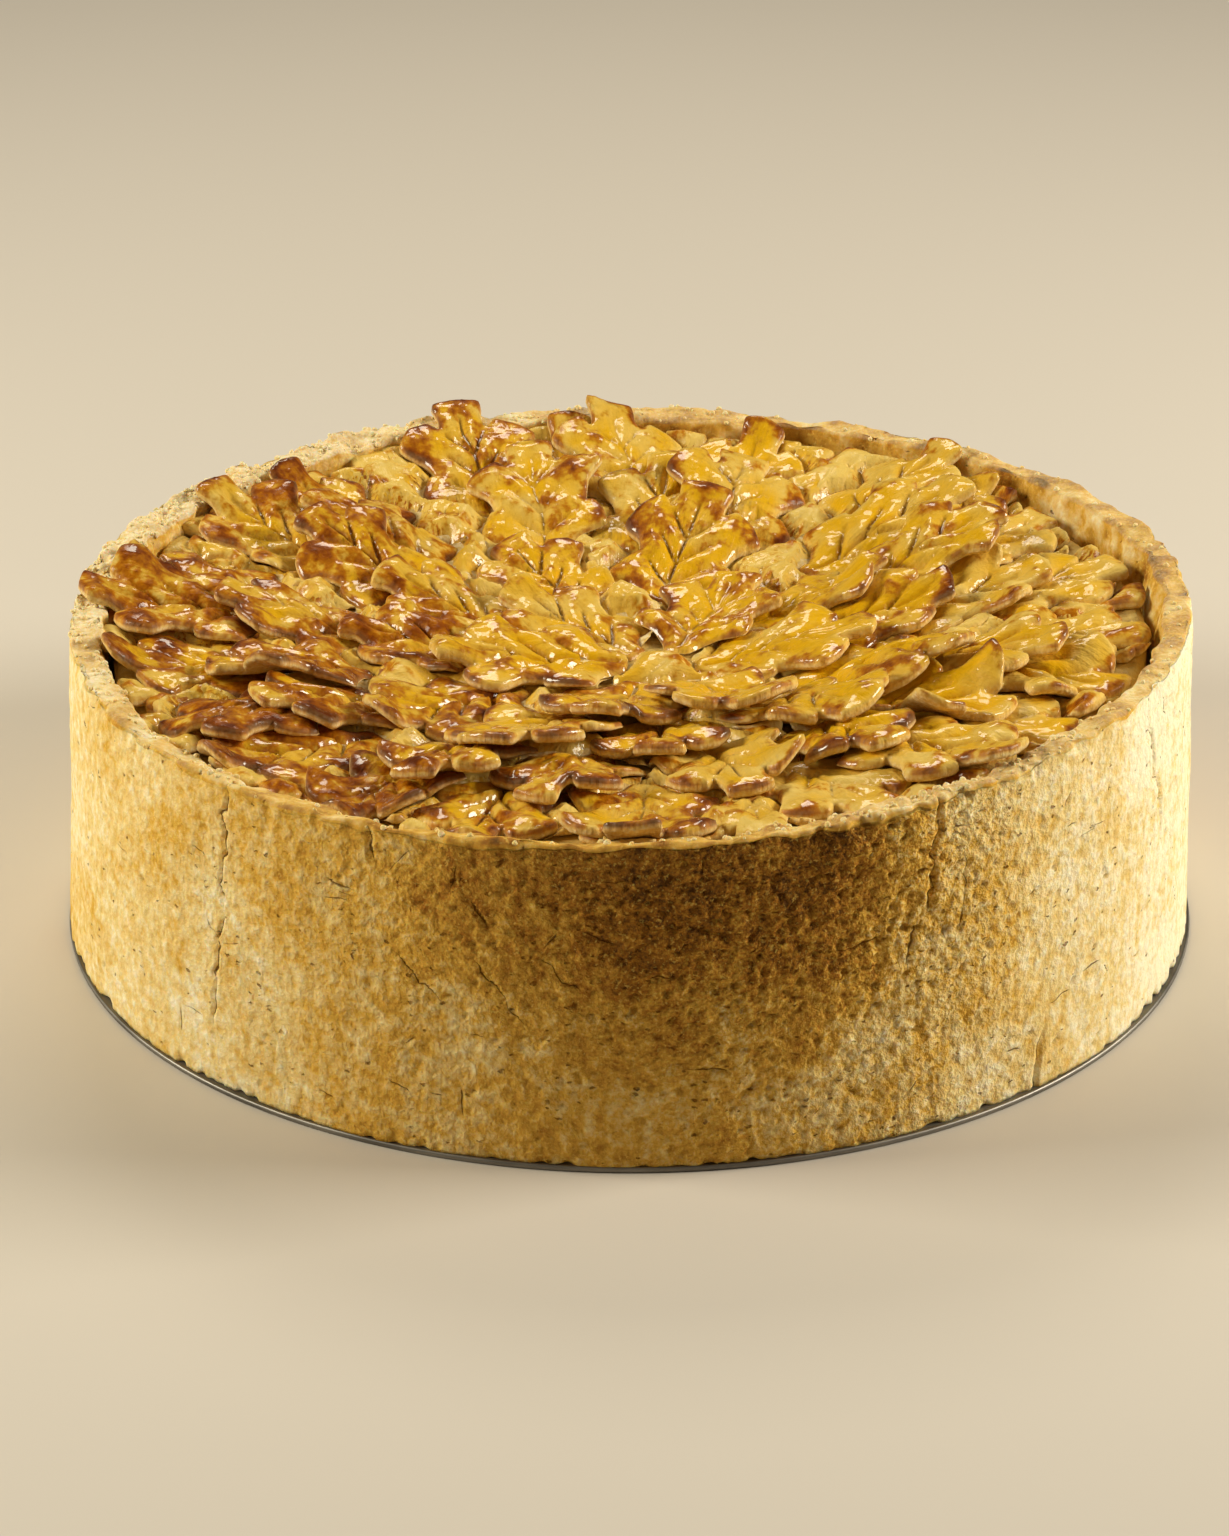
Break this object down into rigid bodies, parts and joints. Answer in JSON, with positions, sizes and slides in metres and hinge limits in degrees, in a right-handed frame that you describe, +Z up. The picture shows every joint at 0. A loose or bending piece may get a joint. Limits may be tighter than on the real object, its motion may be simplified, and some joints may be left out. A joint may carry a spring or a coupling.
{
  "type": "heart of palm pie",
  "caption": "Deep round uncut pie with a straight golden shortcrust side, an uneven rim and a top covered with overlapping glazed pastry leaves, on the loose steel base of its tin.",
  "frame": {"origin": "centre of the underside of the tin base", "axes": "+Z up, -Y towards the viewer of the picture, +X to the viewer's right"},
  "size_m": [0.246, 0.246, 0.0787],
  "materials": {
    "steel": "dull rolled sheet",
    "crust": "dry baked shortcrust, pitted and crumbly",
    "lid": "pale baked pastry",
    "leaf": "egg-washed pastry, glossy, brown at edges"
  },
  "bodies": {
    "root": {"tin_base": "steel", "crust": "crust", "lid": "lid", "leaf_01": "leaf", "leaf_02": "leaf", "leaf_03": "leaf", "leaf_04": "leaf", "leaf_05": "leaf", "leaf_06": "leaf", "leaf_07": "leaf", "leaf_08": "leaf", "leaf_09": "leaf", "leaf_10": "leaf", "leaf_11": "leaf", "leaf_12": "leaf", "leaf_13": "leaf", "leaf_14": "leaf", "leaf_15": "leaf", "leaf_16": "leaf", "leaf_17": "leaf", "leaf_18": "leaf", "leaf_19": "leaf", "leaf_20": "leaf", "leaf_21": "leaf", "leaf_22": "leaf", "leaf_23": "leaf", "leaf_24": "leaf", "leaf_25": "leaf", "leaf_26": "leaf", "leaf_27": "leaf", "leaf_28": "leaf", "leaf_29": "leaf", "leaf_30": "leaf", "leaf_31": "leaf", "leaf_32": "leaf", "leaf_33": "leaf", "leaf_34": "leaf", "leaf_35": "leaf", "leaf_36": "leaf", "leaf_37": "leaf", "leaf_38": "leaf", "leaf_39": "leaf", "leaf_40": "leaf", "leaf_41": "leaf", "leaf_42": "leaf", "leaf_43": "leaf", "leaf_44": "leaf", "leaf_45": "leaf", "leaf_46": "leaf", "leaf_47": "leaf", "leaf_48": "leaf", "leaf_49": "leaf", "leaf_50": "leaf", "leaf_51": "leaf", "leaf_52": "leaf", "leaf_53": "leaf", "leaf_54": "leaf", "leaf_55": "leaf", "leaf_56": "leaf", "leaf_57": "leaf"}
  },
  "joints": []
}
